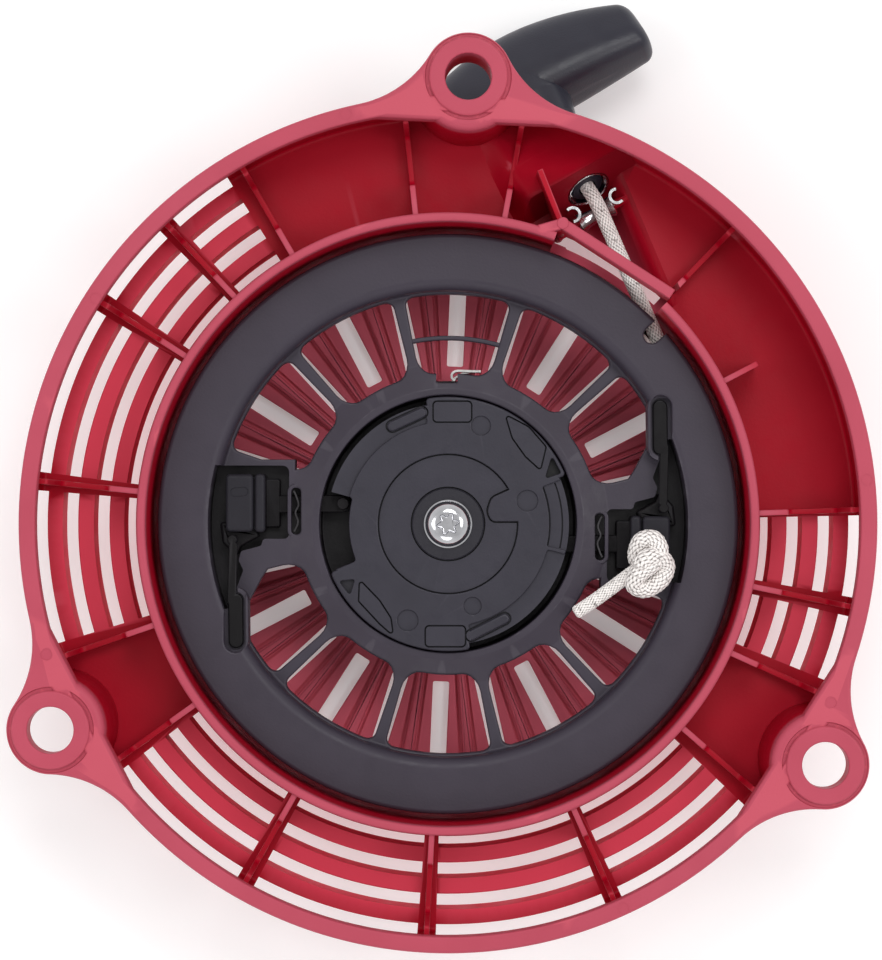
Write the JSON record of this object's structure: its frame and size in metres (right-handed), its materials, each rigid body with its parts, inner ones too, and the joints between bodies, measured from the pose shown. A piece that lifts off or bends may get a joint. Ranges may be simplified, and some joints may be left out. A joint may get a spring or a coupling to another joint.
{
  "type": "recoil starter",
  "caption": "Rope recoil starter for a small vertical-shaft engine: louvred housing with three ears, spring-loaded rope reel, ratchets and T-grip.",
  "frame": {"origin": "on the reel's axis, on the outer flat face of the dome", "axes": "+Z along the reel's axis towards the engine; the grip leaves towards +Y and a little towards -X and -Z"},
  "size_m": [0.1948, 0.2185, 0.052],
  "materials": {
    "red_plastic": "satin moulded",
    "black_plastic": "satin moulded",
    "guide_plastic": "satin moulded",
    "ratchet_plastic": "satin moulded",
    "grip_plastic": "satin moulded",
    "bright_steel": "bright zinc",
    "spring_steel": "oiled",
    "rope_fibre": "braided, flecked"
  },
  "bodies": {
    "housing": {"housing": "red_plastic", "rope_eyelet": "bright_steel", "thrust_washer": "bright_steel", "center_screw": "bright_steel", "rope_run": "rope_fibre"},
    "roller": {"rope_roller": "bright_steel"},
    "reel": {"reel": "black_plastic", "recoil_spring": "spring_steel", "ratchet_spring_left": "spring_steel", "ratchet_spring_right": "spring_steel", "rope_winding": "rope_fibre", "rope_reel_knot": "rope_fibre", "rope_tail": "rope_fibre"},
    "guide": {"ratchet_guide": "guide_plastic", "friction_spring": "spring_steel"},
    "ratchet_left": {"ratchet_left": "ratchet_plastic"},
    "ratchet_right": {"ratchet_right": "ratchet_plastic"},
    "grip": {"grip_handle": "grip_plastic", "grip_cap": "grip_plastic", "grip_washer": "bright_steel", "rope_lead": "rope_fibre", "rope_grip_knot": "rope_fibre"}
  },
  "joints": [
    {"name": "reel_spin", "type": "hinge", "parent": "housing", "child": "reel", "pos_m": [0, 0, 0.03], "axis": [0, 0, 1], "range_deg": [0, 1620], "stiffness_Nm_per_rad": 0.012, "springref_deg": -538.58},
    {"name": "grip_pull", "type": "slide", "parent": "housing", "child": "grip", "axis": [-0.4265, 0.7537, -0.5], "range_m": [0, 1.7]},
    {"name": "guide_turn", "type": "hinge", "parent": "reel", "child": "guide", "pos_m": [0, 0, 0.0355], "axis": [0, 0, 1], "range_deg": [-22, 0]},
    {"name": "ratchet_left_swing", "type": "hinge", "parent": "reel", "child": "ratchet_left", "pos_m": [-0.046, 0.005, 0.033], "axis": [0, 0, 1], "range_deg": [-6, 0]},
    {"name": "ratchet_right_swing", "type": "hinge", "parent": "reel", "child": "ratchet_right", "pos_m": [0.046, -0.005, 0.033], "axis": [0, 0, 1], "range_deg": [-6, 0]},
    {"name": "roller_spin", "type": "hinge", "parent": "housing", "child": "roller", "pos_m": [0.03412, 0.07134, 0.02855], "axis": [0.8704, 0.4924, 0], "continuous": true}
  ],
  "couplings": [
    {"joint": "grip_pull", "follows": "reel_spin", "m_per_rad": 0.06},
    {"joint": "ratchet_left_swing", "follows": "guide_turn", "ratio": 0.27273},
    {"joint": "ratchet_right_swing", "follows": "guide_turn", "ratio": 0.27273}
  ]
}
